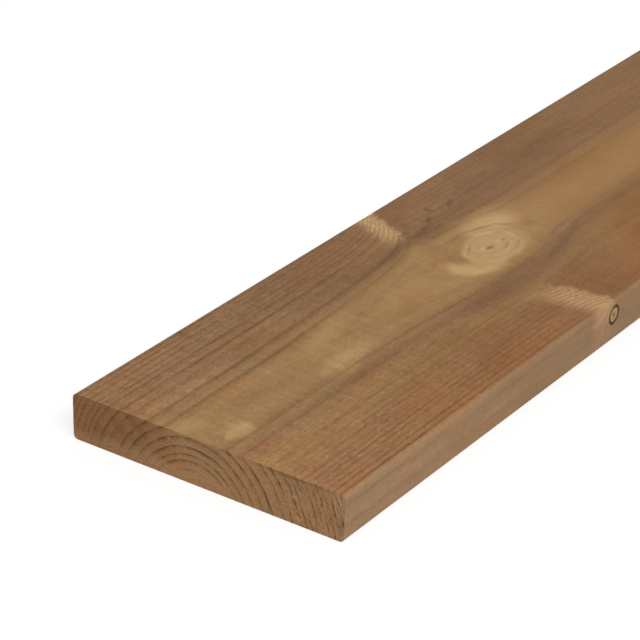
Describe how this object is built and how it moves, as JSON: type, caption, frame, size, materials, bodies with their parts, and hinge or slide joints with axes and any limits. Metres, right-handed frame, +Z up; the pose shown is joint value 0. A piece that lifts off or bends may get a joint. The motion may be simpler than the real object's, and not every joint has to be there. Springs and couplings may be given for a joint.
{
  "type": "cladding board",
  "caption": "Flat planed softwood board with eased long edges and square cut ends, pressure treated brown, for exterior wall cladding.",
  "frame": {"origin": "middle of the back face, on the surface that the board lies on", "axes": "+X along the grain, +Y across the width, +Z up from the back face to the front face"},
  "size_m": [3, 0.145, 0.023],
  "materials": {
    "treated_pine": "brown pressure-treated pine, planed, matt"
  },
  "bodies": {
    "root": {"cladding_board": "treated_pine"}
  },
  "joints": []
}
